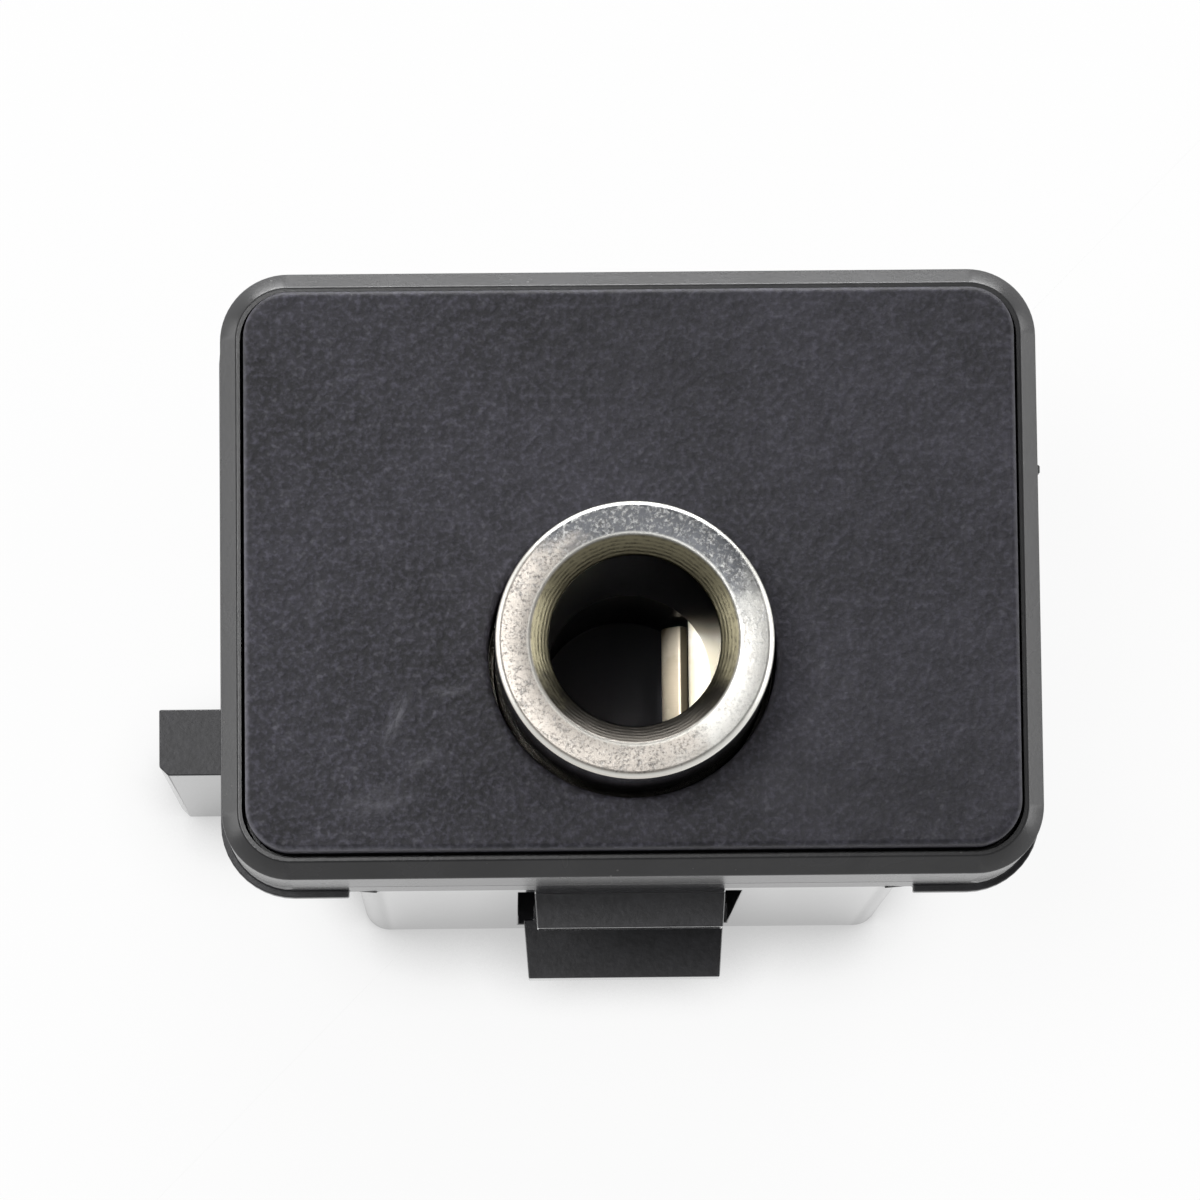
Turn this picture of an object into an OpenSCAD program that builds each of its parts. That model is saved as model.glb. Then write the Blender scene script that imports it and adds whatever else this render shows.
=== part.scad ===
// Snap-in 3.5 mm audio jack socket module: a textured face plate in a black bezel, a plated bush,
// a moulded core with two leaf contacts, and a housing with a guide fin, a latch and a rear header.
// The origin is on the jack's axis at the face plate's front, and +Z points out of the mouth.

/* [Jack] */
// Bore of the bush that the plug slides in
bore_d = 3.7; // [3.6:0.05:3.8]
// Outside diameter of the bush
bush_d = 6; // [5.6:0.1:6.4]
// How far the bush stands out of the face plate
bush_proud = 2.8; // [2:0.1:4]
// Mouth diameter of the bush's countersink
countersink_d = 4.5; // [4.2:0.1:4.9]
// Chamfer on the bush's outer front edge
bush_chamfer = 0.12; // [0.08:0.02:0.3]
// Diameter of the bush's flange, behind the bezel
bush_flange_d = 7.2; // [6.8:0.1:7.4]
// Thickness of the bush's flange
bush_flange_t = 1; // [0.7:0.1:1.4]
// Diameter of the spigot that centres the bush in the core
bush_spigot_d = 5; // [4.7:0.1:5.4]
// Depth of that spigot in the core
bush_spigot_l = 0.35; // [0.2:0.05:0.4]
// Length of the plug from its shoulder to its tip
plug_l = 14; // [13.6:0.1:14.6]
// Free depth past the end of the plug
plug_end_gap = 0.4; // [0.2:0.1:1]

/* [Face] */
// Width of the raised face plate
plate_w = 16.9; // [16:0.1:18]
// Height of the raised face plate
plate_h = 12.3; // [12:0.1:13]
// Corner radius of the face plate
plate_r = 1; // [0.6:0.1:1.4]
// Chamfer on the face plate's front edge
plate_chamfer = 0.12; // [0.05:0.01:0.2]
// How far the face plate stands out of the bezel's rim
plate_proud = 0.7; // [0.3:0.1:1.2]
// How deep the face plate sits in the bezel
plate_seat = 0.9; // [0.6:0.1:1.4]
// Distance of the jack's axis below the middle of the face
axis_drop = 1.9; // [1.7:0.1:2]
// Dark gap around the face plate
shadow_gap = 0.1; // [0.06:0.02:0.2]
// Width of the bezel's smooth rim
rim_w = 0.45; // [0.4:0.01:0.6]
// Chamfer on the rim's outer edge
rim_chamfer = 0.36; // [0.1:0.02:0.38]
// Corner radius of the bezel
bezel_r = 1.5; // [1:0.1:2]
// Thickness of the bezel's floor
bezel_floor = 1.6; // [1.2:0.1:2.2]
// Diameter of the pegs that hold the face plate
peg_d = 1.1; // [0.8:0.1:1.4]

/* [Housing] */
// Width of the housing behind the bezel
body_w = 12.4; // [12.4:0.1:13.4]
// Wall of the housing
wall = 1; // [0.8:0.05:1]
// Corner radius of the housing
body_r = 0.6; // [0.6:0.1:1.2]
// Depth of the band that carries the panel lip, behind the bezel
lip_t = 1.4; // [0.8:0.1:1.6]
// Thickness of the lip's proud edge at the back of that band
lip_edge = 0.4; // [0.3:0.05:0.6]
// How far the lip stands out past the bezel
lip_proud = 0.15; // [0.05:0.05:0.4]
// Panel thickness between the lip and the latch
panel_t = 1.1; // [1:0.1:2.2]
// Thickness of the rear wall
rear_wall = 1.2; // [0.8:0.1:1.6]
// Depth from the circuit board to the back of the housing
header_room = 3.9; // [3.4:0.1:5]
// How far the guide fin reaches past the bezel
fin_reach = 1.6; // [1:0.1:2.5]
// Thickness of the guide fin
fin_t = 1.5; // [1:0.1:2]
// Distance of the guide fin's middle below the jack's axis
fin_drop = 1.3; // [0.5:0.1:2]

/* [Latch] */
// Width of the latch tongue at the wall
latch_w = 4.3; // [3.8:0.1:5]
// Narrowing of the tongue towards its outer edge
latch_taper = 0.1; // [0.05:0.05:0.4]
// Slot on each side of the tongue
latch_slot = 0.35; // [0.3:0.05:0.6]
// Height of the catch over the wall
catch_h = 0.78; // [0.5:0.02:1]
// Length of the catch's ramp
catch_l = 3.6; // [2.5:0.1:4.5]
// Height of the finger tab over the wall
tab_h = 1.4; // [1:0.1:1.8]
// Thickness of the finger tab
tab_t = 1.4; // [1:0.1:1.8]

/* [Contacts] */
// Thickness of the leaf contacts
leaf_t = 0.3; // [0.2:0.02:0.36]
// Width of the leaf contacts
leaf_w = 3.1; // [2.6:0.1:3.5]
// Width of the solder tails
tail_w = 1; // [0.8:0.1:1.2]
// Distance of the ring contact's crest from the axis
ring_crest = 1.4; // [1.3:0.05:1.6]
// Depth of the ring contact's crest behind the mouth
ring_depth = 9.1; // [8.9:0.1:9.4]
// Distance of the ring contact's foot inside the core's side
ring_inset = 0.55; // [0.5:0.05:0.7]
// Distance of the tip contact's crest from the axis
tip_crest = 0.85; // [0.75:0.05:1.1]
// Depth of the tip contact's crest behind the mouth
tip_depth = 11.7; // [11.5:0.1:12]
// Distance of the tip contact's foot from the axis
tip_foot = 3.05; // [2.9:0.05:3.2]
// Bend radius of the leaf contacts
bend_r = 0.45; // [0.35:0.05:0.5]
// Slope of the ring contact between its foot and its crest, in degrees
ring_slope = 12; // [8:1:16]
// Slope of the tip contact between its foot and its crest, in degrees
tip_slope = 30; // [24:1:36]
// Slope of each contact's lead-in, in degrees
lead_slope = 44; // [38:1:50]
// Length of the ring contact's lead-in
ring_lead = 0.75; // [0.5:0.05:0.9]
// Length of the tip contact's lead-in
tip_lead = 0.3; // [0.2:0.05:0.5]
// Thickness of the sleeve tag
tag_t = 0.3; // [0.2:0.05:0.4]
// Width of the sleeve tag's strap
tag_w = 2; // [1.6:0.1:2.6]

/* [Board and header] */
// Thickness of the circuit board
board_t = 0.8; // [0.6:0.1:1]
// Side of the square header pins
pin_side = 0.64; // [0.5:0.02:0.7]
// Distance between the header pins
pin_pitch = 2.54; // [2:0.02:2.6]
// Height of the header's row above the jack's axis
header_y = 5.2; // [5:0.1:5.4]
// Width of the header's opening in the back
window_w = 8.2; // [7.8:0.1:8.8]
// Height of the header's opening in the back
window_h = 4.2; // [3.8:0.1:4.4]
// Thickness of the strip that carries the pins
strip_t = 1.2; // [0.8:0.1:1.6]

/* [Hidden] */
$fn = 64;
hull_fn = 64;
bend_steps = 5;
full_turn = 360;
cut = 0.1;

// Clearances
bush_play = 0.15;
flange_play = 0.4;
peg_play = 0.05;
fit_play = 0.05;
board_play = 0.1;
core_bore_play = 0.2;
leaf_side_play = 0.15;
tail_play = 0.16;
pin_play = 0.01;
notch_play = 0.1;
core_play = 0.2;
chamber_play = 0.3;
foot_play = 0.1;

// Levels along the axis, from the mouth to the back
mouth_z = bush_proud;
rim_z = -plate_proud;
tray_z = rim_z - plate_seat;
bezel_back = tray_z - bezel_floor;
flange_back = bezel_back - bush_flange_t;
core_front = flange_back - tag_t;
bore_end = mouth_z - plug_l - plug_end_gap;
core_floor = 0.4;
core_back = bore_end - core_floor;
board_back = core_back - board_t;
back_z = board_back - header_room;
lip_back = bezel_back - lip_t;
catch_z = lip_back - panel_t;

// Face and housing outlines, centred above the jack's axis
tray_w = plate_w + 2 * shadow_gap;
tray_h = plate_h + 2 * shadow_gap;
bezel_w = tray_w + 2 * rim_w;
bezel_h = tray_h + 2 * rim_w;
body_h = bezel_h;
room_w = body_w - 2 * wall;
room_h = body_h - 2 * wall;
body_bottom = axis_drop - body_h / 2;
room_bottom = body_bottom + wall;
room_top = axis_drop + room_h / 2;
peg_inset = 1.5;
peg_short = 0.2;
peg_x = plate_w / 2 - peg_inset;
peg_y = plate_h / 2 - peg_inset;
peg_l = bezel_floor - peg_short;

// Bezel's locating ridge and snap legs
ridge_t = 0.5;
ridge_h = 0.7;
leg_w = 2.4;
leg_t = 0.6;
leg_l = 4.4;
leg_inset = 0.8;
leg_y = room_top - leg_w / 2 - leg_inset;
nib_h = 0.5;
nib_l = 0.9;
leg_x = room_w / 2 - fit_play;
leg_end = bezel_back - leg_l;
nib_top = leg_end + nib_l;
nib_window_play = 0.15;

// Latch tongue
tongue_neck = 0.6;
tongue_gap = 0.3;
tongue_root = lip_back - tongue_neck;
tongue_end = back_z + rear_wall + tongue_gap;
tab_z = tongue_end + tab_t;
catch_top = 0.7;
catch_foot = catch_z - catch_l;

// Guide fin
fin_lift = 0.4;
fin_end = back_z + fin_lift;
fin_x = bezel_w / 2 + fin_reach;
fin_chamfer = 0.2;

// Core and its contact chamber
strap_room = 0.6;
core_right = room_w / 2 - chamber_play;
core_left = core_right - strap_room;
core_half_h = -room_bottom - core_play;
core_bore_d = bore_d + 2 * core_bore_play;
spigot_hole_d = bush_spigot_d + 2 * fit_play;
chamber_wall = 0.5;
chamber_front = core_front - chamber_wall;
chamber_x = 1;
chamber_h = leaf_w + 2 * leaf_side_play;

// Leaf contacts: the crest's level, and the foot and solder tail on the board
ring_foot = core_right - ring_inset;
ring_z = mouth_z - ring_depth;
tip_z = mouth_z - tip_depth;
tail_stub = 0.5;
leaf_foot = core_back + foot_play;
tail_end = board_back - tail_stub;

// Sleeve tag
tag_inset = 0.2;
tag_d = bush_flange_d - 2 * tag_inset;
strap_x = -core_left - tag_t / 2;

// Board and header
board_w = room_w - 2 * board_play;
board_h = room_h - 2 * board_play;
board_r = 0.4;
pin_stub = 0.4;
pin_recess = 0.5;
pin_hole_d = pin_side * sqrt(2) + 2 * fit_play;
pin_top = core_back + pin_stub;
pin_end = back_z + pin_recess;
strip_h = 2.4;
strip_w = 2 * pin_pitch + strip_h;
shroud_wall = 0.8;
shroud_bottom = header_y - window_h / 2 - shroud_wall;
post_d = 1.6;
post_inset = 1.1;
post_x = room_w / 2 - post_inset;
post_y = room_bottom + post_inset;

// Direction of the segment from one point to the next
function heading(p, q) = (q - p) / norm(q - p);

// Points of a path with each inner corner turned into an arc of radius r
function bent(path, r) = [
    path[0],
    for (i = [1 : len(path) - 2])
        let (
            a = heading(path[i], path[i - 1]),
            b = heading(path[i], path[i + 1]),
            half = acos(a * b) / 2,
            mid = (a + b) / norm(a + b),
            centre = path[i] + mid * r / sin(half),
            from = path[i] + a * r / tan(half) - centre,
            to = path[i] + b * r / tan(half) - centre,
            start = atan2(from[1], from[0]),
            turn = (atan2(to[1], to[0]) - start + 1.5 * full_turn) % full_turn - full_turn / 2
        )
        for (k = [0 : bend_steps])
            centre + r * [cos(start + turn * k / bend_steps), sin(start + turn * k / bend_steps)],
    path[len(path) - 1]
];

// Normal of a path at point i, lengthened at a corner so that a strip keeps its thickness
function strip_normal(path, i) =
    let (
        before = heading(path[max(i - 1, 0)], path[max(i, 1)]),
        after = heading(path[min(i, len(path) - 2)], path[min(i + 1, len(path) - 1)]),
        n = [-before[1] - after[1], before[0] + after[0]]
    )
    2 * n / (n * n);

// Outline of a strip of thickness t along a path
function strip_outline(path, t) = concat(
    [for (i = [0 : len(path) - 1]) path[i] + strip_normal(path, i) * t / 2],
    [for (i = [len(path) - 1 : -1 : 0]) path[i] - strip_normal(path, i) * t / 2]
);

module rounded_rect(w, h, r) {
    square([w - 2 * r, h], center = true);
    square([w, h - 2 * r], center = true);
    for (x = [-1, 1], y = [-1, 1])
        translate([x * (w / 2 - r), y * (h / 2 - r)])
            circle(r);
}

// A rounded slab on the face's centre, from z up by t
module slab(w, h, r, z, t) {
    translate([0, axis_drop, z])
        linear_extrude(t)
            rounded_rect(w, h, r);
}

// A rounded slab whose top edge has a chamfer c
module chamfered_slab(w, h, r, z, t, c) {
    skin = 0.01;
    hull() {
        slab(w, h, r, z, t - c, $fn = hull_fn);
        slab(w - 2 * c, h - 2 * c, r - c, z + t - skin, skin, $fn = hull_fn);
    }
}

// A box from one corner to the opposite one
module box(low, high) {
    translate(low)
        cube(high - low);
}

// A profile of [y, z] points drawn across x, with its middle on the axis
module across(width, points) {
    translate([-width / 2, 0, 0])
        rotate([90, 0, 90])
            linear_extrude(width)
                polygon(points);
}

// A profile of [x, z] points drawn along y, with its middle on the axis
module along_y(width, points) {
    translate([0, width / 2, 0])
        rotate([90, 0, 0])
            linear_extrude(width)
                polygon(points);
}

module at_pegs() {
    for (x = [-1, 1], y = [-1, 1])
        translate([x * peg_x, axis_drop + y * peg_y, 0])
            children();
}

module front_plate() {
    color("#3f3f46")
        difference() {
            union() {
                chamfered_slab(plate_w, plate_h, plate_r, tray_z, -tray_z, plate_chamfer);
                at_pegs()
                    translate([0, 0, tray_z - peg_l])
                        cylinder(h = peg_l + cut, d = peg_d);
            }
            translate([0, 0, tray_z - cut])
                cylinder(h = 2 * cut - tray_z, d = bush_d + 2 * bush_play);
        }
}

// One spring leg of the bezel, with the nib that clicks into the housing's side
module snap_leg() {
    translate([0, leg_y, 0])
        along_y(leg_w, [
            [leg_x - leg_t, bezel_back],
            [leg_x - leg_t, leg_end],
            [leg_x, leg_end],
            [leg_x + nib_h, nib_top - nib_l / 3],
            [leg_x + nib_h, nib_top],
            [leg_x, nib_top],
            [leg_x, bezel_back]
        ]);
}

module bezel() {
    ridge_w = room_w - 2 * fit_play;
    ridge_l = room_h - 2 * fit_play;
    ridge_r = body_r - wall / 2;
    color("#26262a")
        union() {
            difference() {
                chamfered_slab(bezel_w, bezel_h, bezel_r, bezel_back, rim_z - bezel_back, rim_chamfer);
                slab(tray_w, tray_h, plate_r + shadow_gap, tray_z, plate_seat + cut);
                translate([0, 0, bezel_back - cut])
                    cylinder(h = bezel_floor + 2 * cut, d = bush_d + 2 * bush_play);
                at_pegs()
                    translate([0, 0, bezel_back - cut])
                        cylinder(h = bezel_floor + 2 * cut, d = peg_d + 2 * peg_play);
            }
            difference() {
                slab(ridge_w, ridge_l, ridge_r, bezel_back - ridge_h, ridge_h);
                slab(
                    ridge_w - 2 * ridge_t, ridge_l - 2 * ridge_t, ridge_r / 2,
                    bezel_back - ridge_h - cut, ridge_h + 2 * cut
                );
                translate([0, 0, bezel_back - ridge_h - cut])
                    cylinder(h = ridge_h + 2 * cut, d = bush_flange_d + 2 * flange_play);
            }
            for (side = [0, 1])
                mirror([side, 0, 0])
                    snap_leg();
        }
}

// The latch tongue: a strip of the bottom wall with a catch behind the panel and a finger tab
module latch_tongue() {
    outer = body_bottom - tab_h;
    half = latch_w / 2;
    intersection() {
        across(latch_w, [
            [room_bottom, tongue_root + cut],
            [body_bottom, tongue_root + cut],
            [body_bottom, catch_z],
            [body_bottom - catch_h, catch_z],
            [body_bottom - catch_h, catch_z - catch_top],
            [body_bottom, catch_foot],
            [body_bottom, tab_z],
            [outer, tab_z],
            [outer, tongue_end + tab_t / 3],
            [body_bottom, tongue_end],
            [room_bottom, tongue_end]
        ]);
        translate([0, 0, back_z])
            linear_extrude(-back_z)
                polygon([
                    [-half, room_bottom],
                    [-half, body_bottom],
                    [latch_taper - half, outer],
                    [half - latch_taper, outer],
                    [half, body_bottom],
                    [half, room_bottom]
                ]);
    }
}

module guide_fin() {
    translate([0, -fin_drop, fin_end])
        linear_extrude(catch_z - fin_end)
            polygon([
                [-body_w / 2 + wall / 2, fin_t / 2],
                [-fin_x, fin_t / 2],
                [-fin_x, fin_chamfer - fin_t / 2],
                [-fin_x + fin_chamfer, -fin_t / 2],
                [-body_w / 2 + wall / 2, -fin_t / 2]
            ]);
}

module rear_housing() {
    lip_w = bezel_w + 2 * lip_proud;
    lip_h = bezel_h + 2 * lip_proud;
    notch = body_w / 2 + notch_play;
    tongue_cut = latch_w / 2 + latch_slot;
    window = [window_w / 2, window_h / 2];
    color("#1d1d20")
        union() {
            difference() {
                union() {
                    slab(body_w, body_h, body_r, back_z, bezel_back - back_z);
                    difference() {
                        union() {
                            slab(bezel_w, bezel_h, bezel_r, lip_back, lip_t);
                            slab(lip_w, lip_h, bezel_r + lip_proud, lip_back, lip_edge);
                        }
                        box(
                            [-notch, body_bottom - 2 * lip_proud, lip_back - cut],
                            [notch, body_bottom, bezel_back + cut]
                        );
                    }
                    guide_fin();
                }
                difference() {
                    slab(room_w, room_h, body_r - wall / 2, back_z + rear_wall, bezel_back - back_z);
                    box([-room_w, shroud_bottom, back_z], [room_w, room_top + wall, board_back]);
                }
                box(
                    [-window[0], header_y - window[1], back_z - cut],
                    [window[0], header_y + window[1], board_back + cut]
                );
                box(
                    [-tongue_cut, body_bottom - wall, tongue_end - tongue_gap],
                    [tongue_cut, room_bottom + cut, tongue_root]
                );
                box(
                    [-body_w, leg_y - leg_w / 2 - nib_window_play, leg_end - nib_window_play],
                    [body_w, leg_y + leg_w / 2 + nib_window_play, nib_top + nib_window_play]
                );
            }
            latch_tongue();
            for (side = [-1, 1])
                translate([side * post_x, post_y, back_z + rear_wall - cut])
                    cylinder(h = board_back - back_z - rear_wall + cut, d = post_d);
        }
}

module bush() {
    bore = bore_d / 2;
    barrel = bush_d / 2;
    mouth = countersink_d / 2;
    flange = bush_flange_d / 2;
    spigot = bush_spigot_d / 2;
    spigot_end = core_front - bush_spigot_l;
    color("#b9bab8")
        rotate_extrude()
            polygon([
                [bore, mouth_z - (mouth - bore)],
                [mouth, mouth_z],
                [barrel - bush_chamfer, mouth_z],
                [barrel, mouth_z - bush_chamfer],
                [barrel, bezel_back],
                [flange, bezel_back],
                [flange, flange_back],
                [spigot, flange_back],
                [spigot, spigot_end],
                [bore, spigot_end]
            ]);
}

// A ring under the bush's flange, with a strap that is folded down the core's side to the board
module sleeve_tag() {
    half_tail = tail_w / 2;
    color("#c9b27a")
        union() {
            difference() {
                union() {
                    translate([0, 0, core_front])
                        cylinder(h = tag_t, d = tag_d);
                    box([strap_x - tag_t / 2, -tag_w / 2, core_front], [-bush_spigot_d / 2, tag_w / 2, flange_back]);
                }
                translate([0, 0, core_front - cut])
                    cylinder(h = tag_t + 2 * cut, d = spigot_hole_d);
            }
            box([strap_x - tag_t / 2, -tag_w / 2, leaf_foot], [strap_x + tag_t / 2, tag_w / 2, flange_back]);
            box([strap_x - tag_t / 2, -half_tail, tail_end], [strap_x + tag_t / 2, half_tail, leaf_foot + cut]);
        }
}

module jack_core() {
    color("#17171a")
        difference() {
            box([-core_left, -core_half_h, core_back], [core_right, core_half_h, core_front]);
            translate([0, 0, bore_end])
                cylinder(h = core_front - bore_end + cut, d = core_bore_d);
            translate([0, 0, core_front - bush_spigot_l - fit_play])
                cylinder(h = bush_spigot_l + fit_play + cut, d = spigot_hole_d);
            box([chamber_x, -chamber_h / 2, core_back - cut], [core_right + cut, chamber_h / 2, chamber_front]);
        }
}

// A stamped leaf: a foot on the board, a slope to the round crest that meets the plug, and a lead-in
module leaf(foot, slope, crest, crest_z, lead) {
    centre = [crest + leaf_t / 2 + bend_r, crest_z];
    half = (slope + lead_slope) / 2;
    tilt = (lead_slope - slope) / 2;
    corner = centre - bend_r / sin(half) * [cos(tilt), sin(tilt)];
    path = [
        [foot, leaf_foot],
        [foot, corner[1] - (foot - corner[0]) * tan(slope)],
        corner,
        corner + (lead + bend_r / tan(half)) * [cos(lead_slope), sin(lead_slope)]
    ];
    color("#d8bd7c")
        union() {
            along_y(leaf_w, strip_outline(bent(path, bend_r), leaf_t));
            box([foot - leaf_t / 2, -tail_w / 2, tail_end], [foot + leaf_t / 2, tail_w / 2, leaf_foot + cut]);
        }
}

module tip_spring() {
    leaf(tip_foot, tip_slope, tip_crest, tip_z, tip_lead);
}

module ring_spring() {
    leaf(ring_foot, ring_slope, ring_crest, ring_z, ring_lead);
}

// The slot in the board that a solder tail stands in
module tail_slot(x, t) {
    half = [t / 2 + tail_play, tail_w / 2 + tail_play];
    box([x - half[0], -half[1], board_back - cut], [x + half[0], half[1], core_back + cut]);
}

module at_pin(place) {
    translate([place * pin_pitch, header_y, 0])
        children();
}

module circuit_board() {
    color("#2f5a3a")
        difference() {
            slab(board_w, board_h, board_r, board_back, board_t);
            tail_slot(tip_foot, leaf_t);
            tail_slot(ring_foot, leaf_t);
            tail_slot(strap_x, tag_t);
            for (place = [-1, 0, 1])
                at_pin(place)
                    translate([0, 0, board_back - cut])
                        cylinder(h = board_t + 2 * cut, d = pin_hole_d);
        }
}

// A square bar on a header place, from z up to top
module pin_bar(place, side, z, top) {
    at_pin(place)
        box([-side / 2, -side / 2, z], [side / 2, side / 2, top]);
}

module header_strip() {
    half = [strip_w / 2, strip_h / 2];
    color("#1b1b1e")
        difference() {
            box([-half[0], header_y - half[1], board_back - strip_t], [half[0], header_y + half[1], board_back]);
            for (place = [-1, 0, 1])
                pin_bar(place, pin_side + 2 * pin_play, board_back - strip_t - cut, board_back + cut);
        }
}

module header_pin(place) {
    color("#d8bd7c")
        pin_bar(place, pin_side, pin_end, pin_top);
}

module header_pin_tip() {
    header_pin(-1);
}

module header_pin_ring() {
    header_pin(0);
}

module header_pin_sleeve() {
    header_pin(1);
}

front_plate();
bezel();
rear_housing();
bush();
sleeve_tag();
jack_core();
tip_spring();
ring_spring();
circuit_board();
header_strip();
header_pin_tip();
header_pin_ring();
header_pin_sleeve();
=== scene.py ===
"""Looks of a snap-in audio jack socket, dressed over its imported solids."""

import logging
import math
from abc import ABC, abstractmethod
from dataclasses import dataclass, field
from enum import Enum
from typing import Any, Iterable

import bmesh
import bpy
from mathutils import Matrix, Vector


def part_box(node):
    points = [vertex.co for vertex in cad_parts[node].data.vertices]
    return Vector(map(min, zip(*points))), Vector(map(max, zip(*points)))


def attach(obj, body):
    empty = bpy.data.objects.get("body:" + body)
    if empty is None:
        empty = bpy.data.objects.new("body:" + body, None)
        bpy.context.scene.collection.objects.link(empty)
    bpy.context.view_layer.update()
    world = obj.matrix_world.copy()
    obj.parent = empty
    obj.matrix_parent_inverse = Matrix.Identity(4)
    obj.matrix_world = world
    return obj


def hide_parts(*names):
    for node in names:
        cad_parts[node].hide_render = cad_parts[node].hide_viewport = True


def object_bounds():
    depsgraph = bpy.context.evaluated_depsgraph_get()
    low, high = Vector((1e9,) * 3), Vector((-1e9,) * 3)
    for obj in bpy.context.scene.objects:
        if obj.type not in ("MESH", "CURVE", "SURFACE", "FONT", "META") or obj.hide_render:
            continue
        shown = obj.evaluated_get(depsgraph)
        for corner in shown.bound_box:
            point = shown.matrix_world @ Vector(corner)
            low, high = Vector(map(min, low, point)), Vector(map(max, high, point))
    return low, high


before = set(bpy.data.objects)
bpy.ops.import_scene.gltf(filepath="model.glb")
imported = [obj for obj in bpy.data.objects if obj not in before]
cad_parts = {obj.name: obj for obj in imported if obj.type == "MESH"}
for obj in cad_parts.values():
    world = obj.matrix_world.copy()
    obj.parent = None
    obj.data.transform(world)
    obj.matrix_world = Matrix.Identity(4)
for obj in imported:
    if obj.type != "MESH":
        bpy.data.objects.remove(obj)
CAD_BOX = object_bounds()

LOG = logging.getLogger("jack_socket")
MM = 0.001
# Distances in metres at which points touch, are merged and leave a sliver.
TOUCHING, MERGED, SLIVER = 1e-8, 1e-7, 2e-7
# Degrees between faces of one plane, at a corner, at a square corner and at a crease of the shading.
FLAT, CORNER, SQUARE, CREASE = 0.6, 28.0, 60.0, 48.0
# Parts of a normal on one axis: of a face across it, roughly along it and exactly along it.
ACROSS, ALONG, STRAIGHT = 0.1, 0.9, 0.999
Color = tuple[float, float, float]
Place = tuple[float, float, float]


class Body(Enum):
    """The moving bodies that a piece can ride on."""

    SOCKET = "socket"
    TIP = "tip_contact"
    RING = "ring_contact"


class Slot(Enum):
    """The record's material slots."""

    GRAINED = "grained_plastic"
    SMOOTH = "smooth_plastic"
    HOUSING = "housing_plastic"
    PLATED = "plated_bush"
    CORE = "core_plastic"
    CONTACT = "contact_metal"
    PIN = "pin_metal"
    BOARD = "board"


class Signal:
    """A shader value that Python's operators work on."""

    def __init__(self, graph: "Graph", socket: bpy.types.NodeSocket) -> None:
        """Wrap one output socket of a graph's node."""
        self.graph = graph
        self.socket = socket

    def out(self, name: str) -> "Signal":
        """Another output of the same node."""
        return Signal(self.graph, self.socket.node.outputs[name])

    def math(self, operation: str, other: "Signal | float | None" = None, flip: bool = False) -> "Signal":
        """Add one Math node that starts from this value.

        Args:
            operation: Blender's name of the operation.
            other: The second operand, where there is one.
            flip: Whether this value comes second.

        Returns:
            The node's result.
        """
        values = [self] if other is None else [self, other]
        if flip:
            values.reverse()
        return self.graph.add("ShaderNodeMath", {"operation": operation}, dict(enumerate(values)))

    def __add__(self, other: "Signal | float") -> "Signal":
        """Sum."""
        return self.math("ADD", other)

    __radd__ = __add__

    def __sub__(self, other: "Signal | float") -> "Signal":
        """Difference."""
        return self.math("SUBTRACT", other)

    def __rsub__(self, other: "Signal | float") -> "Signal":
        """Difference from a number."""
        return self.math("SUBTRACT", other, flip=True)

    def __mul__(self, other: "Signal | float") -> "Signal":
        """Product."""
        return self.math("MULTIPLY", other)

    __rmul__ = __mul__

    def __truediv__(self, other: "Signal | float") -> "Signal":
        """Quotient."""
        return self.math("DIVIDE", other)

    def __rtruediv__(self, other: "Signal | float") -> "Signal":
        """A number divided by this value."""
        return self.math("DIVIDE", other, flip=True)

    def __pow__(self, other: "Signal | float") -> "Signal":
        """Power."""
        return self.math("POWER", other)

    def __abs__(self) -> "Signal":
        """Distance from zero."""
        return self.math("ABSOLUTE")

    def sine(self) -> "Signal":
        """Sine of this value in radians."""
        return self.math("SINE")

    def most(self, other: "Signal | float") -> "Signal":
        """The larger of two values."""
        return self.math("MAXIMUM", other)

    def least(self, other: "Signal | float") -> "Signal":
        """The smaller of two values."""
        return self.math("MINIMUM", other)

    def band(self, low: float, high: float, start: float = 0.0, end: float = 1.0) -> "Signal":
        """Rise smoothly from start to end as this value goes from low to high.

        Args:
            low: The value at which the rise begins.
            high: The value at which it ends.
            start: The result at low.
            end: The result at high.

        Returns:
            The mapped value.
        """
        return self.graph.add(
            "ShaderNodeMapRange",
            {"interpolation_type": "SMOOTHSTEP", "clamp": True},
            {0: self, 1: low, 2: high, 3: start, 4: end},
        )


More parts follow.
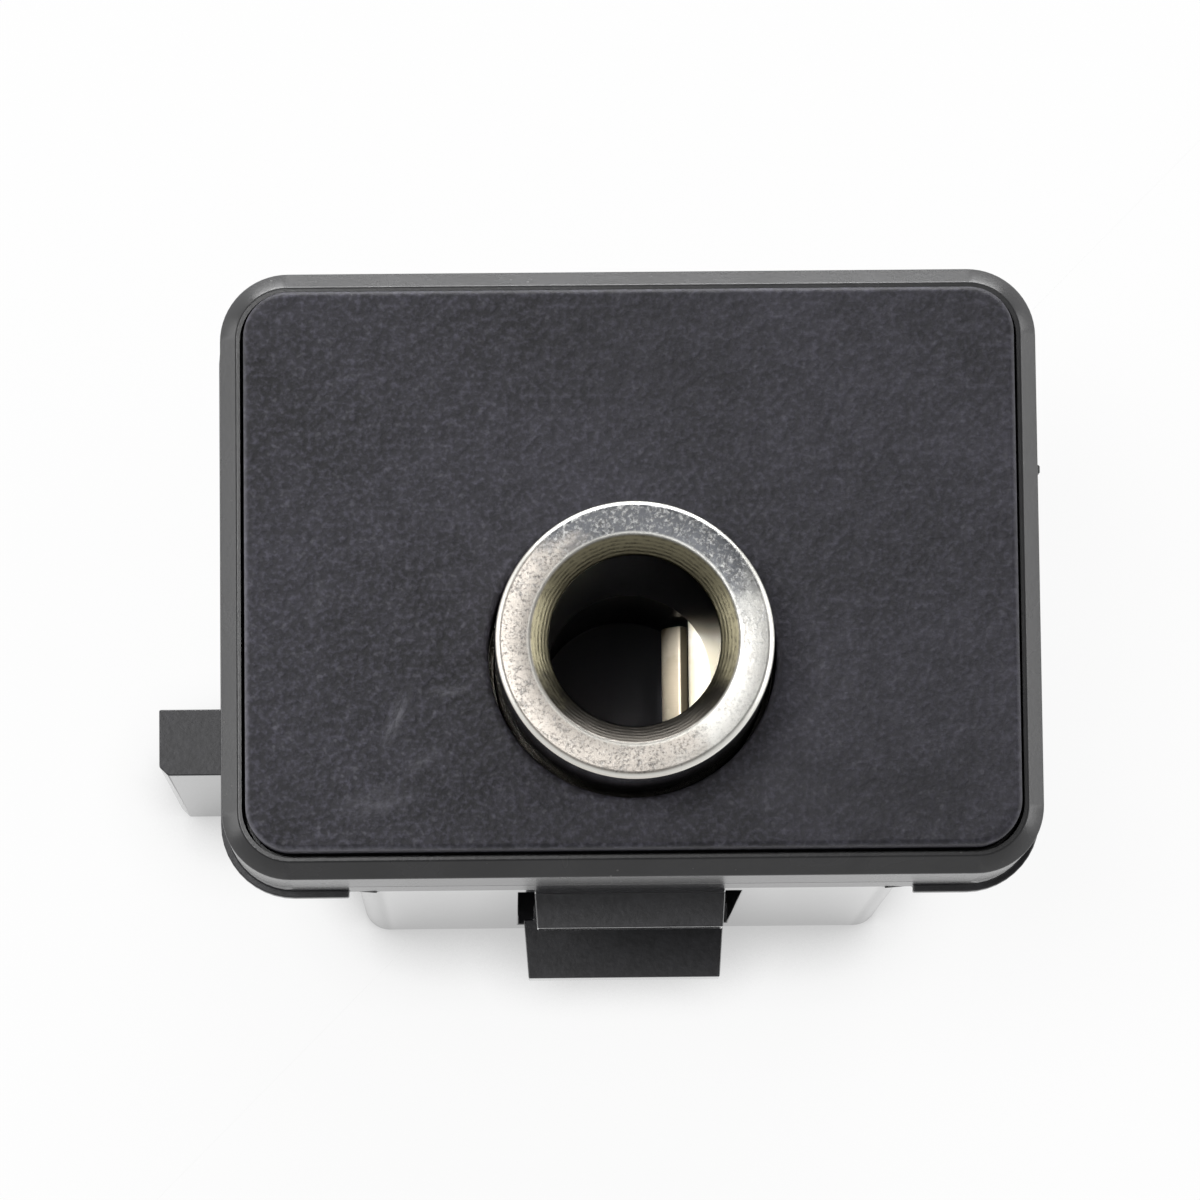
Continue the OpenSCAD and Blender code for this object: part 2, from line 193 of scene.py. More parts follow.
class Graph:
    """The node tree of one material or of the world."""

    def __init__(self, tree: bpy.types.NodeTree) -> None:
        """Start from an emptied node tree."""
        self.tree = tree
        self.tree.nodes.clear()

    def add(
        self,
        kind: str,
        settings: dict[str, Any] | None = None,
        sockets: dict[str | int, Any] | None = None,
        out: str | int = 0,
    ) -> Signal:
        """Add one node.

        Args:
            kind: The node's type.
            settings: Its properties, which are set first.
            sockets: The values or links of its inputs.
            out: The output to return.

        Returns:
            That output.
        """
        node = self.tree.nodes.new(kind)
        for key, value in (settings or {}).items():
            setattr(node, key, value)
        for key, value in (sockets or {}).items():
            self.feed(node.inputs[key], value)
        return Signal(self, node.outputs[out])

    def feed(self, socket: bpy.types.NodeSocket, value: Any) -> None:
        """Link a signal to a socket, or set the socket's own value."""
        if isinstance(value, Signal):
            self.tree.links.new(value.socket, socket)
        elif socket.type == "RGBA":
            socket.default_value = (*value[:3], 1.0)
        else:
            socket.default_value = value

    def end(self, kind: str, surface: Signal) -> None:
        """Link a shader to a new output node of the given type."""
        node = self.tree.nodes.new(kind)
        self.tree.links.new(surface.socket, node.inputs["Surface"])

    def place(
        self, centre: Iterable[float] = (0, 0, 0), turn: float = 0.0, size: Iterable[float] = (1, 1, 1)
    ) -> Signal:
        """Object coordinates in millimetres, moved to a pattern's own centre.

        Args:
            centre: The pattern's centre in millimetres.
            turn: Its turn about Z in degrees.
            size: The lengths in millimetres that count as one.

        Returns:
            The vector.
        """
        coords = self.add("ShaderNodeTexCoord", out="Object")
        return self.add(
            "ShaderNodeMapping",
            {"vector_type": "TEXTURE"},
            {
                "Vector": coords,
                "Location": [c * MM for c in centre],
                "Rotation": (0, 0, math.radians(turn)),
                "Scale": [s * MM for s in size],
            },
        )

    def split(self, vector: Signal) -> tuple[Signal, Signal, Signal]:
        """The three parts of a vector."""
        x = self.add("ShaderNodeSeparateXYZ", None, {0: vector})
        return x, x.out("Y"), x.out("Z")

    def length(self, vector: Signal) -> Signal:
        """The length of a vector."""
        return self.add("ShaderNodeVectorMath", {"operation": "LENGTH"}, {0: vector}, out="Value")

    def noise(
        self, at: Signal, scale: float, detail: float = 2.0, rough: float = 0.5, warp: float = 0.0
    ) -> Signal:
        """Soft noise.

        Args:
            at: Where to read it.
            scale: Features per unit of length.
            detail: How many finer layers it has.
            rough: How strong the finer layers are.
            warp: How far it is distorted.

        Returns:
            A value around one half.
        """
        return self.add(
            "ShaderNodeTexNoise",
            None,
            {"Vector": at, "Scale": scale, "Detail": detail, "Roughness": rough, "Distortion": warp},
        )

    def cells(self, at: Signal, scale: float, feature: str = "F1") -> Signal:
        """Distance to scattered points, with about scale of them per unit of length."""
        return self.add("ShaderNodeTexVoronoi", {"feature": feature}, {"Vector": at, "Scale": scale})

    def mix(self, factor: Signal | float, first: Signal | Color, second: Signal | Color) -> Signal:
        """Blend two colours.

        Args:
            factor: How much of the second colour shows.
            first: The first colour.
            second: The second colour.

        Returns:
            The colour.
        """
        settings = {"data_type": "RGBA", "clamp_factor": True}
        return self.add("ShaderNodeMix", settings, {0: factor, 6: first, 7: second}, out=2)

    def bump(self, height: Signal, depth_mm: float, strength: float) -> Signal:
        """A surface normal from a height field.

        Args:
            height: The height, from 0 to 1.
            depth_mm: What a height of 1 means.
            strength: How much of it shows.

        Returns:
            The normal.
        """
        sockets = {"Strength": strength, "Distance": depth_mm * MM, "Height": height}
        return self.add("ShaderNodeBump", None, sockets)


def blank_material(name: str) -> tuple[bpy.types.Material, Graph]:
    """A new material and its emptied graph."""
    made = bpy.data.materials.new(name)
    made.use_nodes = True
    return made, Graph(made.node_tree)


@dataclass(frozen=True)
class Finish(ABC):
    """A surface finish that becomes one material."""

    name: str

    def material(self) -> bpy.types.Material:
        """The finish as a new material."""
        made, graph = blank_material(self.name)
        shader = graph.add("ShaderNodeBsdfPrincipled", None, self.sockets(graph))
        graph.end("ShaderNodeOutputMaterial", shader)
        return made

    @abstractmethod
    def sockets(self, graph: Graph) -> dict[str, Any]:
        """The values and links of the shader's sockets."""


@dataclass(frozen=True)
class Scuff:
    """A soft patch on a face, in millimetres and degrees, for light rub marks and for darker areas."""

    x: float
    y: float
    turn: float
    length: float
    width: float
    weight: float

    def mask(self, graph: Graph) -> Signal:
        """Where the mark shows, from 0 to its weight."""
        at = graph.place((self.x, self.y, 0), self.turn, (self.length / 2, self.width / 2, 1))
        broken = graph.noise(at, 1.6, 4.0, 0.75).band(0.32, 0.7)
        return (1 - graph.length(at)).band(0.0, 0.9) * broken * self.weight


@dataclass(frozen=True)
class GrainedPlastic(Finish):
    """Black plastic with a fine eroded grain, rub marks in a few places and a painted highlight along its
    left edge.
    """

    dark: Color = (0.0040, 0.0036, 0.0066)
    light: Color = (0.070, 0.0672, 0.091)
    # Pale tone of the grain's flecks, the rub marks and the painted edge highlight.
    pale_rub_and_highlight: Color = (0.130, 0.128, 0.150)
    grain_per_mm: float = 7.5
    left_edge: float = -8.45
    low_edge: float = -4.25
    corner_r: float = 1.0
    scuffs: tuple[Scuff, ...] = (
        Scuff(-5.15, -1.35, 68, 1.9, 0.5, 0.85),
        Scuff(-4.0, -0.8, 5, 1.3, 0.4, 0.55),
        Scuff(-5.6, -3.2, 12, 2.4, 0.9, 0.45),
        Scuff(-4.6, -2.3, 40, 1.4, 0.6, 0.3),
        Scuff(-6.9, 1.2, 75, 1.6, 0.5, 0.2),
    )
    # Soft patches where the plate is darker, at the lower right and at the top.
    darker_patches: tuple[Scuff, ...] = (Scuff(5.6, -2.8, 25, 8.5, 6.0, 0.75), Scuff(0.4, 6.6, 5, 7.0, 4.0, 0.6))

    def sockets(self, graph: Graph) -> dict[str, Any]:
        """Grain in colour, gloss and height, a painted highlight along the left edges, with scuffs on top.
        """
        at = graph.place()
        grain = graph.noise(at, self.grain_per_mm, 2.0, 0.6)
        pebble = graph.cells(at, self.grain_per_mm * 0.9, "SMOOTH_F1")
        mottle = graph.noise(graph.place((1.7, 4.1, 0), 35, (1.0, 0.6, 1.0)), 1.7, 2.0, 0.6)
        cloud = graph.noise(graph.place((3.0, 1.0, 0)), 0.22, 2.0, 0.5)
        x, y, z = graph.split(at)
        speck = (grain.band(0.4, 0.78) - 0.25) * (x + y * 0.3).band(-8.0, 8.0, 1.2, 0.75) + 0.25
        tone = speck * 0.62 + mottle.band(0.35, 0.75) * 0.2 + cloud.band(0.3, 0.7) * 0.18
        darkened = sum((s.mask(graph) for s in self.darker_patches), 0.0)
        color = graph.mix(tone * (1 - darkened * 0.8), self.dark, self.light)
        flecks = graph.noise(graph.place((5.0, 2.0, 0)), self.grain_per_mm * 0.85, 1.0, 0.5)
        spread = mottle.band(0.35, 0.6) * (x + y * 0.5).band(-8.0, 5.0, 0.4, 0.2)
        color = graph.mix(flecks.band(0.57, 0.75) * spread, color, self.pale_rub_and_highlight)
        # Painted highlight: a pale, broken line along the rounded left and lower-left edge, where light from
        # the left catches it.
        past_x = (self.left_edge + self.corner_r - x).most(0.0)
        past_y = (self.low_edge + self.corner_r - y).most(0.0)
        brink = (past_x * past_x + past_y * past_y) ** 0.5 - self.corner_r
        edge = brink.band(-0.13, -0.02) * z.band(-0.2, -0.1) * (x + y * 0.4).band(-8.6, -4.0, 1.0, 0.0)
        color = graph.mix(edge * (grain * 0.9 + 0.1), color, self.pale_rub_and_highlight)
        marks = sum((s.mask(graph) for s in self.scuffs), 0.0)
        color = graph.mix(marks, color, self.pale_rub_and_highlight)
        height = grain * 0.6 - pebble * 0.5
        return {
            "Base Color": color,
            "Roughness": 0.5 + grain * 0.2 - marks * 0.1,
            "Normal": graph.bump(height, 0.03, 0.8),
            "Specular IOR Level": 0.45,
        }


@dataclass(frozen=True)
class MouldedPlastic(Finish):
    """Smooth black moulded plastic with faint flow, draw lines and dust."""

    color: Color
    gloss: float
    draw: float = 0.0
    dust: float = 0.25
    matt_front: float = 0.0
    band_z: float = 10.0
    polish: float = 0.0
    polished_x: float = 5.6
    lint: Color = (0.28, 0.27, 0.26)
    matt: Color = (0.050, 0.049, 0.056)

    def sockets(self, graph: Graph) -> dict[str, Any]:
        """Flow, draw lines and dust, with a matt front, a satin band and polished flat walls."""
        at = graph.place()
        flow = graph.noise(at, 0.6, 3.0, 0.55, 0.8)
        skin = graph.noise(at, 9.0, 2.0, 0.5)
        lines = graph.noise(graph.place(size=(0.09, 0.09, 4.0)), 1.0, 2.0, 0.5)
        specks = graph.cells(at, 2.6).band(0.03, 0.09, 1.0, 0.0) * graph.noise(at, 0.8).band(0.5, 0.62)
        pale = tuple(c * 1.25 + 0.001 for c in self.color)
        color = graph.mix(flow.band(0.3, 0.75), self.color, pale)
        color = graph.mix(specks * self.dust, color, self.lint)
        facing = graph.split(graph.add("ShaderNodeTexCoord", out="Normal"))[2].band(0.75, 0.95)
        mottle = graph.noise(at, 3.5, 3.0, 0.65).band(0.3, 0.7)
        color = graph.mix(facing * mottle * self.matt_front * 1.4, color, self.matt)
        x, _, z = graph.split(at)
        satin = z.band(self.band_z - 0.05, self.band_z + 0.05)
        flat = abs(x).band(self.polished_x - 0.15, self.polished_x + 0.1, 1.0, 0.0)
        dimmed = (facing * self.matt_front).most(satin * 0.14)
        height = skin * (0.5 + facing * self.matt_front * 3.0) + lines * self.draw
        return {
            "Base Color": color,
            "Roughness": self.gloss + (flow - 0.5) * 0.03 + specks * 0.3 + dimmed,
            "Coat Weight": flat * (1 - facing) * (1 - satin) * self.polish,
            "Normal": graph.bump(height, 0.006, 0.6),
        }


@dataclass(frozen=True)
class NickelPlate(Finish):
    """Turned brass under pitted nickel plate, with painted shade at the top, painted highlights on the right
    and at the rims, a tarnished countersink and painted shade in the bore.
    """

    worn: Color = (0.49, 0.45, 0.405)
    # Colours of the painted highlight on the right and the painted shade at the top.
    painted_highlight: Color = (0.72, 0.71, 0.67)
    painted_shade: Color = (0.13, 0.135, 0.145)
    pit: Color = (0.10, 0.095, 0.09)
    spark: Color = (0.62, 0.62, 0.61)
    # Colour of the painted highlights at the barrel's rim and round the countersink.
    edge: Color = (0.80, 0.79, 0.74)
    olive: Color = (0.225, 0.205, 0.135)
    dark_olive: Color = (0.035, 0.032, 0.028)
    # Near-black colour of the bore's wall, painted shade.
    bore: Color = (0.10, 0.095, 0.085)
    mouth_z: float = 2.8
    bore_r: float = 1.85
    countersink_r: float = 2.25
    barrel_r: float = 3.0

    def sockets(self, graph: Graph) -> dict[str, Any]:
        """Plating tone by place, with painted shade at the top and painted highlights on the right and at
        the rims, pits and sparks on its front, painted shade in the bore, turning marks in height.
        """
        at = graph.place()
        x, y, z = graph.split(at)
        radius = (x * x + y * y) ** 0.5
        side = radius.band(self.barrel_r - 0.06, self.barrel_r - 0.02)
        sunk = radius.band(self.countersink_r - 0.04, self.countersink_r + 0.02, 1.0, 0.0)
        step = self.mouth_z - (self.countersink_r - self.bore_r)
        hole = sunk * z.band(step - 0.06, step + 0.01, 1.0, 0.0)
        front = (1 - side) * (1 - sunk)
        patch = graph.noise(at, 1.6, 3.0, 0.6) - 0.5
        grit = graph.noise(at, 15.0, 4.0, 0.75)
        blotch = graph.noise(graph.place((2.3, 5.1, 0.7)), 5.0, 4.0, 0.7)
        fleck = graph.noise(graph.place((7.3, 2.1, 0.4)), 12.0, 4.0, 0.75)
        # Painted light: the plate turns to painted shade towards the top and to a painted highlight on the
        # right; the worn tone lies between.
        dimmed = ((y * 0.9 + x * 0.42) / self.barrel_r + patch * 1.1).band(0.12, 0.62)
        highlight_side = ((x * 0.94 - y * 0.34) / self.barrel_r + patch * 0.5).band(0.5, 0.85)
        color = graph.mix(dimmed, self.worn, self.painted_shade)
        color = graph.mix(highlight_side, color, self.painted_highlight)
        pits = (grit * 0.6 + blotch * 0.4).band(0.46, 0.66) * (1 - highlight_side * 0.6) * front
        color = graph.mix(pits * 0.85, color, self.pit)
        sparks = (fleck * 0.65 + blotch * 0.35).band(0.47, 0.66) * (dimmed * 0.7 + 0.25) * front
        color = graph.mix(sparks, color, self.spark)
        # Painted highlights: a pale line at the barrel's front rim (the mask turned) and round the
        # countersink's outer edge.
        turned = radius.band(self.barrel_r - 0.12, self.barrel_r - 0.07)
        mouth_highlight = radius.band(self.countersink_r + 0.03, self.countersink_r + 0.09, 1.0, 0.0) * (1 - sunk)
        color = graph.mix((turned * (1 - side * 0.6)).most(mouth_highlight * 0.6), color, self.edge)
        # The countersink's olive darkens towards the bottom and in the turning rings.
        stain = (graph.noise(at, 2.2, 3.0, 0.6) - 0.5) * 0.9
        darkening = (y * -0.5 + stain).band(0.1, 0.75)
        rings = (((radius + z) * 47.0 + patch * 7.0).sine() * 0.5 + 0.5) * blotch.band(0.3, 0.65)
        darkening = darkening.most(rings * grit.band(0.35, 0.6) * 0.6)
        color = graph.mix(sunk, color, graph.mix(darkening, self.olive, self.dark_olive))
        # Painted shade: the bore's wall below the countersink takes the near-black colour.
        color = graph.mix(hole, color, self.bore)
        marks = rings * (front * 0.05 + (sunk - hole) * 0.35)
        height = marks + (grit * 0.5 - pits * 0.3 + sparks * 0.4) * front
        return {
            "Base Color": color,
            "Metallic": 1.0,
            "Roughness": 0.13 + front * (0.26 + patch * 0.15 + pits * 0.1) + (sunk - hole) * 0.2,
            "Normal": graph.bump(height, 0.012, 0.7),
        }


@dataclass(frozen=True)
class SpringStrip(Finish):
    """Plated spring strip with rolling lines along it."""

    color: Color = (0.84, 0.76, 0.58)
    worn: Color = (0.93, 0.90, 0.82)
    gloss: float = 0.42
    metal: float = 0.35
    # Level under which the strip takes painted shade.
    painted_shade_z: float = -50.0
    brown: Color = (0.52, 0.40, 0.22)
    # Colour of the painted shade.
    painted_shade: Color = (0.06, 0.048, 0.028)

    def sockets(self, graph: Graph) -> dict[str, Any]:
        """Rolling lines in gloss and height, paler wear, and painted shade below a level and on faces that
        look towards +X, such as cut ends.
        """
        at = graph.place()
        rolled = graph.noise(graph.place(size=(1.2, 0.06, 1.2)), 1.0, 2.0, 0.6)
        wear = graph.noise(at, 1.5, 3.0, 0.6)
        stain = graph.noise(at, 0.9, 2.0, 0.5)
        color = graph.mix(wear.band(0.4, 0.7), self.color, self.worn)
        color = graph.mix(stain.band(0.6, 0.85) * 0.5, color, self.brown)
        # Painted shade: near-black below the level and on every face that looks towards +X, meant for the
        # leads' cut ends.
        dimmed = graph.split(at)[2].band(self.painted_shade_z - 0.12, self.painted_shade_z, 1.0, 0.0)
        cut = graph.split(graph.add("ShaderNodeTexCoord", out="Normal"))[0].band(0.35, 0.6)
        color = graph.mix(dimmed.most(cut) * 0.94, color, self.painted_shade)
        return {
            "Base Color": color,
            "Metallic": self.metal,
            "Roughness": self.gloss + rolled * 0.18,
            "Normal": graph.bump(rolled, 0.004, 0.6),
        }


@dataclass(frozen=True)
class MaskedBoard(Finish):
    """Solder-masked laminate with bare rings round the header's holes."""

    mask: Color = (0.016, 0.075, 0.030)
    track: Color = (0.030, 0.125, 0.050)
    copper: Color = (0.72, 0.60, 0.36)
    cloth: Color = (0.05, 0.16, 0.07)
    edge: Color = (0.42, 0.36, 0.20)
    pin_y: float = 5.2
    pitch: float = 2.54
    ring_r: float = 0.85
    middle_z: float = -12.4
    half_t: float = 0.39
    half_w: float = 5.09
    tall: float = 1000.0

    def sockets(self, graph: Graph) -> dict[str, Any]:
        """Weave under the mask, tracks beside it, copper rings and a cut edge."""
        at = graph.place()
        x, y, z = graph.split(at)
        weave = ((x * 9.0).sine() * (y * 9.0).sine()) * 0.5 + 0.5
        tracks = ((x + 0.4 * y) * 2.6).sine().band(0.5, 0.62) * y.band(-1.5, 0.5)
        color = graph.mix(tracks, self.mask, self.track)
        color = graph.mix(weave * 0.25, color, self.cloth)
        rings = 0.0
        for place in (-1, 0, 1):
            at_pin = graph.place((place * self.pitch, self.pin_y, 0), 0, (1, 1, self.tall))
            rings = graph.length(at_pin).band(self.ring_r - 0.05, self.ring_r, 1.0, 0.0) + rings
        color = graph.mix(rings, color, self.copper)
        half = (abs(z - self.middle_z) - self.half_t).band(-0.03, 0.0, 1.0, 0.0)
        rim = abs(x).band(self.half_w - 0.03, self.half_w) * half
        color = graph.mix(rim, color, self.edge)
        return {
            "Base Color": color,
            "Metallic": rings.least(1.0) * 0.9,
            "Roughness": 0.38 + weave * 0.06 - rings * 0.1,
            "Normal": graph.bump(weave * 0.3 + tracks * 0.7, 0.01, 0.5),
        }


def millimetres(node: str) -> tuple[Vector, Vector]:
    """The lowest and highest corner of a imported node, in millimetres."""
    low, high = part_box(node)
    return low / MM, high / MM


def as_mesh(bm: bmesh.types.BMesh, name: str) -> bpy.types.Mesh:
    """A finished bmesh as mesh data; the bmesh is freed."""
    mesh = bpy.data.meshes.new(name)
    bm.to_mesh(mesh)
    bm.free()
    return mesh


def linked(name: str, data: bpy.types.ID) -> bpy.types.Object:
    """A new object with the given data, linked to the scene."""
    made = bpy.data.objects.new(name, data)
    bpy.context.scene.collection.objects.link(made)
    return made


def flatten(bm: bmesh.types.BMesh) -> None:
    """Join faces that lie in one plane."""
    bmesh.ops.dissolve_limit(
        bm,
        angle_limit=math.radians(FLAT),
        verts=bm.verts[:],
        edges=bm.edges[:],
        use_dissolve_boundaries=False,
    )


def fill(bm: bmesh.types.BMesh, edges: list[bmesh.types.BMEdge], up: int) -> None:
    """Fill closed outlines with triangles that look up (1) or down (-1)."""
    bmesh.ops.triangle_fill(bm, use_beauty=True, use_dissolve=False, edges=edges, normal=(0, 0, up))


def draw_out(bm: bmesh.types.BMesh, faces: list[bmesh.types.BMFace], inset: float, depth: float) -> None:
    """Draw faces out to smaller ones.

    Args:
        bm: The mesh.
        faces: The faces, each drawn by itself.
        inset: How much each side moves inwards, in millimetres.
        depth: How far a face is drawn out.
    """
    bmesh.ops.inset_individual(bm, faces=faces, thickness=inset * MM, depth=depth * MM, use_even_offset=True)


def soften(bm: bmesh.types.BMesh, edges: list[bmesh.types.BMEdge], radius: float, segments: int) -> None:
    """Round a set of edges.

    Args:
        bm: The mesh.
        edges: The edges to round.
        radius: How far the rounding reaches, in millimetres.
        segments: How many steps it has.
    """
    bmesh.ops.bevel(
        bm,
        geom=edges,
        offset=radius * MM,
        offset_type="OFFSET",
        segments=segments,
        profile=0.5,
        affect="EDGES",
        material=-1,
        clamp_overlap=False,
        loop_slide=True,
    )


def corners(bm: bmesh.types.BMesh, degrees: float = CORNER) -> list[bmesh.types.BMEdge]:
    """The edges at which a mesh turns by more than some degrees."""
    least = math.radians(degrees)
    return [e for e in bm.edges if e.is_manifold and e.calc_face_angle(0.0) > least]


def rounded_sheet(
    bm: bmesh.types.BMesh, low: Vector, high: Vector, z: float, radius: float, steps: int
) -> None:
    """Add a flat rectangle with round corners.

    Args:
        bm: The mesh to add it to.
        low: The lowest corner, in millimetres.
        high: The highest corner.
        z: Its level.
        radius: The corners' radius.
        steps: How many segments a corner has.
    """
    size, middle = high - low, (low + high) / 2
    centre = Matrix.Translation(Vector((middle.x, middle.y, z)) * MM)
    place = centre @ Matrix.Diagonal((size.x * MM, size.y * MM, 1, 1))
    made = bmesh.ops.create_grid(bm, x_segments=1, y_segments=1, size=0.5, matrix=place)["verts"]
    bmesh.ops.bevel(
        bm,
        geom=made,
        offset=radius * MM,
        offset_type="OFFSET",
        segments=steps,
        profile=0.5,
        affect="VERTICES",
        material=-1,
    )


@dataclass
class Piece(ABC):
    """One piece of the socket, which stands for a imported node."""

    node: str
    finish: Finish
    slot: Slot
    body: Body = Body.SOCKET

    def build(self) -> bpy.types.Object:
        """Model the piece, dress it and set it in its place.

        Returns:
            The finished object.
        """
        bm = self.model()
        bmesh.ops.remove_doubles(bm, verts=bm.verts[:], dist=TOUCHING)
        bmesh.ops.dissolve_degenerate(bm, dist=SLIVER, edges=bm.edges[:])
        bmesh.ops.recalc_face_normals(bm, faces=bm.faces[:])
        for face in bm.faces:
            face.smooth = True
        for edge in bm.edges:
            edge.smooth = edge.calc_face_angle(0.0) < math.radians(CREASE)
        mesh = as_mesh(bm, "dressed_" + self.node)
        mesh.materials.append(self.finish.material())
        made = linked(mesh.name, mesh)
        normals = made.modifiers.new("even_normals", "WEIGHTED_NORMAL")
        normals.keep_sharp = True
        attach(made, self.body.value)
        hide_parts(self.node)
        LOG.info("%s: %d faces, %s", made.name, len(mesh.polygons), self.finish.name)
        return made

    @abstractmethod
    def model(self) -> bmesh.types.BMesh:
        """The piece's mesh, in metres and in place."""


@dataclass
class SolidPiece(Piece):
    """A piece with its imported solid's own shape and softened edges."""

    radius: float = 0.05
    segments: int = 2

    def merged(self) -> bmesh.types.BMesh:
        """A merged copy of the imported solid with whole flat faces."""
        bm = bmesh.new()
        bm.from_mesh(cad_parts[self.node].data)
        bmesh.ops.remove_doubles(bm, verts=bm.verts[:], dist=MERGED)
        flatten(bm)
        return bm

    def model(self) -> bmesh.types.BMesh:
        """The merged solid with every corner edge softened."""
        bm = self.merged()
        soften(bm, corners(bm), self.radius, self.segments)
        return bm


@dataclass
class Housing(SolidPiece):
    """The rear moulding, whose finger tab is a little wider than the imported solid's."""

    tab_y: float = -4.8
    tab_z: float = -13.8
    tab_gain: float = 0.22

    def on_tab(self, face: bmesh.types.BMFace) -> bool:
        """Whether a face is one of the finger tab's two sides."""
        middle = face.calc_center_median() / MM
        return abs(face.normal.x) > ALONG and middle.y < self.tab_y and middle.z < self.tab_z

    def merged(self) -> bmesh.types.BMesh:
        """The merged solid with the finger tab's sides drawn outwards."""
        bm = super().merged()
        bm.normal_update()
        sides = [face for face in bm.faces if self.on_tab(face)]
        for face in bmesh.ops.extrude_discrete_faces(bm, faces=sides)["faces"]:
            gain = math.copysign(self.tab_gain * MM, face.calc_center_median().x)
            bmesh.ops.translate(bm, verts=face.verts[:], vec=(gain, 0.0, 0.0))
        flatten(bm)
        return bm


@dataclass
class FacePlate(Piece):
    """The raised grained plate with its bush hole and four pegs."""

    corner_r: float = 1.0
    corner_steps: int = 12
    edge_r: float = 0.14
    edge_steps: int = 4
    hole_r: float = 3.15
    hole_steps: int = 96
    peg_d: float = 1.1
    peg_inset: float = 1.5
    peg_taper: float = 0.12
    peg_steps: int = 32
    seat_z: float = -1.6

    def model(self) -> bmesh.types.BMesh:
        """A rounded sheet with a hole, drawn up, edged and pegged."""
        low, high = millimetres(self.node)
        bm = bmesh.new()
        rounded_sheet(bm, low, high, self.seat_z, self.corner_r, self.corner_steps)
        bmesh.ops.delete(bm, geom=bm.faces[:], context="FACES_ONLY")
        self.circle(bm, 0.0, 0.0, self.hole_r, self.hole_steps)
        fill(bm, bm.edges[:], 1)
        drawn = bmesh.ops.extrude_face_region(bm, geom=bm.faces[:])["geom"]
        top = [v for v in drawn if isinstance(v, bmesh.types.BMVert)]
        bmesh.ops.translate(bm, vec=(0, 0, (high.z - self.seat_z) * MM), verts=top)
        bmesh.ops.recalc_face_normals(bm, faces=bm.faces[:])
        level = (high.z - self.edge_r) * MM
        raised = [e for e in corners(bm, SQUARE) if min(v.co.z for v in e.verts) > level]
        soften(bm, raised, self.edge_r, self.edge_steps)
        self.pegs(bm, low, high)
        return bm

    def circle(
        self, bm: bmesh.types.BMesh, x: float, y: float, radius: float, steps: int
    ) -> list[bmesh.types.BMVert]:
        """Add an open circle at the seat's level, in millimetres."""
        place = Matrix.Translation(Vector((x, y, self.seat_z)) * MM)
        return bmesh.ops.create_circle(bm, segments=steps, radius=radius * MM, matrix=place)["verts"]

    def pegs(self, bm: bmesh.types.BMesh, low: Vector, high: Vector) -> None:
        """Fill the underside anew with four discs, and draw the discs down.

        Args:
            bm: The plate's mesh.
            low: The node's lowest corner, in millimetres.
            high: The node's highest corner.
        """
        bm.normal_update()
        bmesh.ops.delete(bm, geom=[f for f in bm.faces if f.normal.z < -ALONG], context="FACES")
        discs = [
            self.circle(bm, x, y, self.peg_d / 2, self.peg_steps)
            for x in (low.x + self.peg_inset, high.x - self.peg_inset)
            for y in (low.y + self.peg_inset, high.y - self.peg_inset)
        ]
        fill(bm, [e for e in bm.edges if len(e.link_faces) < 2], -1)
        feet = [bm.faces.new(disc) for disc in discs]
        bmesh.ops.recalc_face_normals(bm, faces=bm.faces[:])
        draw_out(bm, feet, self.peg_taper, self.seat_z - low.z)


@dataclass
class Bezel(SolidPiece):
    """The smooth rim round the plate, with a trimmed gate on its right side."""

    rim_r: float = 0.03
    rim_steps: int = 4
    rim_depth: float = 0.4
    body_depth: float = 0.6
    gate: tuple[float, float] = (4.15, -1.5)
    gate_half: tuple[float, float] = (0.11, 0.18)
    gate_h: float = 0.07
    gate_r: float = 0.02
    gate_steps: int = 3
    flush: float = 0.002

    def model(self) -> bmesh.types.BMesh:
        """The merged solid with a round rim, softened edges and the gate's stub."""
        bm = self.merged()
        low, high = millimetres(self.node)
        top, middle = high.z, (low + high) / 2 * MM
        upright = [f for f in bm.faces if abs(f.normal.z) < ACROSS]
        inner = {f for f in upright if f.normal.dot(middle - f.calc_center_median()) > 0}
        outer = [e for e in corners(bm) if inner.isdisjoint(e.link_faces)]
        level = (top - self.rim_depth) * MM
        soften(bm, [e for e in outer if min(v.co.z for v in e.verts) > level], self.rim_r, self.rim_steps)
        level = (top - self.body_depth) * MM
        rest = [e for e in corners(bm, SQUARE) if max(v.co.z for v in e.verts) < level]
        soften(bm, rest, self.radius, self.segments)
        self.stub(bm, high.x)
        return bm

    def stub(self, bm: bmesh.types.BMesh, wall_x: float) -> None:
        """Draw the gate's trimmed stub out of the right wall.

        Args:
            bm: The bezel's mesh.
            wall_x: Where the wall is, in millimetres.
        """
        axes = (Vector((0, 1, 0)), Vector((0, 0, 1)))
        for axis, centre, half in zip(axes, self.gate, self.gate_half):
            for side in (-half, half):
                wall = self.wall(bm, wall_x)
                cut = wall + list(dict.fromkeys(p for f in wall for p in (*f.edges, *f.verts)))
                level = axis * (centre + side) * MM
                bmesh.ops.bisect_plane(bm, geom=cut, dist=TOUCHING, plane_co=level, plane_no=axis)
        spot = Vector((wall_x, *self.gate)) * MM
        face = min(self.wall(bm, wall_x), key=lambda f: (f.calc_center_median() - spot).length)
        draw_out(bm, [face], self.gate_h / 2, self.gate_h)
        soften(bm, list(face.edges), self.gate_r, self.gate_steps)

    def wall(self, bm: bmesh.types.BMesh, x: float) -> list[bmesh.types.BMFace]:
        """The faces that lie in the right wall's plane."""
        bm.normal_update()
        right = [f for f in bm.faces if f.normal.x > STRAIGHT]
        return [f for f in right if abs(f.calc_center_median().x / MM - x) < self.flush]


